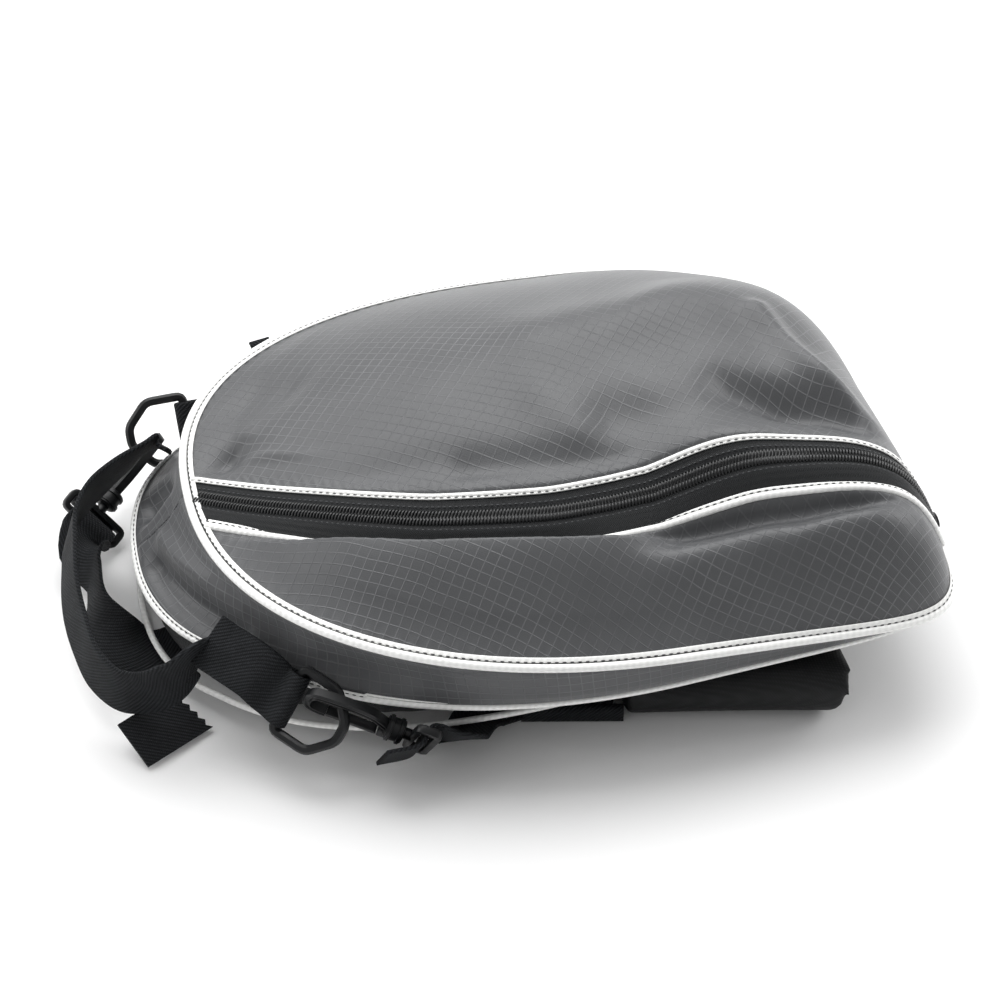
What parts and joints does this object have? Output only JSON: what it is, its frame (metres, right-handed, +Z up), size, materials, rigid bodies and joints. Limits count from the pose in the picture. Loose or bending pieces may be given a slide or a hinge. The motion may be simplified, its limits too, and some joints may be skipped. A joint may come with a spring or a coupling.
{
  "type": "basketball bag",
  "caption": "Soft egg-shaped ball bag lying on its back, with a long curved zip in a domed front, a webbing haul handle and shoulder straps on rings and snap hooks.",
  "frame": {"origin": "centre of the bounding box at the surface the bag lies on", "axes": "+X from the handle end to the wide end, +Y away from the near side, +Z up out of the front"},
  "size_m": [0.3914, 0.2804, 0.1192],
  "materials": {
    "ripstop": "coated ripstop, soft sheen",
    "piping": "glossy coated piping",
    "back_nylon": "plain black pack cloth",
    "zip_nylon": "black coil and herringbone tape",
    "webbing": "black woven webbing",
    "mesh": "black spacer mesh",
    "moulded_plastic": "moulded black plastic"
  },
  "bodies": {
    "bag": {"zip_coil": "zip_nylon", "zip_tape_far": "zip_nylon", "zip_tape_near": "zip_nylon", "zip_piping_far": "piping", "zip_piping_near": "piping", "zip_slider": "moulded_plastic", "front_panel_far": "ripstop", "front_panel_near": "ripstop", "rim_piping": "piping", "side_gusset": "ripstop", "seam_piping": "piping", "back_pad": "back_nylon", "back_piping": "piping", "handle": "webbing", "handle_tail": "webbing", "ring_near": "moulded_plastic", "ring_tab_near": "webbing", "hook_near": "moulded_plastic", "hook_loop_near": "moulded_plastic", "strap_webbing_near": "webbing", "ring_far": "moulded_plastic", "ring_tab_far": "webbing", "hook_far": "moulded_plastic", "hook_loop_far": "moulded_plastic", "strap_webbing_far": "webbing", "side_tab_far": "webbing", "shoulder_pad_near": "back_nylon", "strap_mesh_near": "mesh", "shoulder_pad_far": "back_nylon", "strap_mesh_far": "mesh"},
    "near_gate": {"hook_gate_near": "moulded_plastic"},
    "far_gate": {"hook_gate_far": "moulded_plastic"}
  },
  "joints": [
    {"name": "near_gate_hinge", "type": "hinge", "parent": "bag", "child": "near_gate", "pos_m": [-0.07225, -0.11125, 0.02581], "axis": [0.4808, 0.8154, 0.3224], "range_deg": [0, 15], "stiffness_Nm_per_rad": 0.15, "springref_deg": -8.59},
    {"name": "far_gate_hinge", "type": "hinge", "parent": "bag", "child": "far_gate", "pos_m": [-0.16206, 0.08358, 0.01562], "axis": [0.645, -0.4466, -0.6201], "range_deg": [0, 15], "stiffness_Nm_per_rad": 0.15, "springref_deg": -8.59}
  ]
}
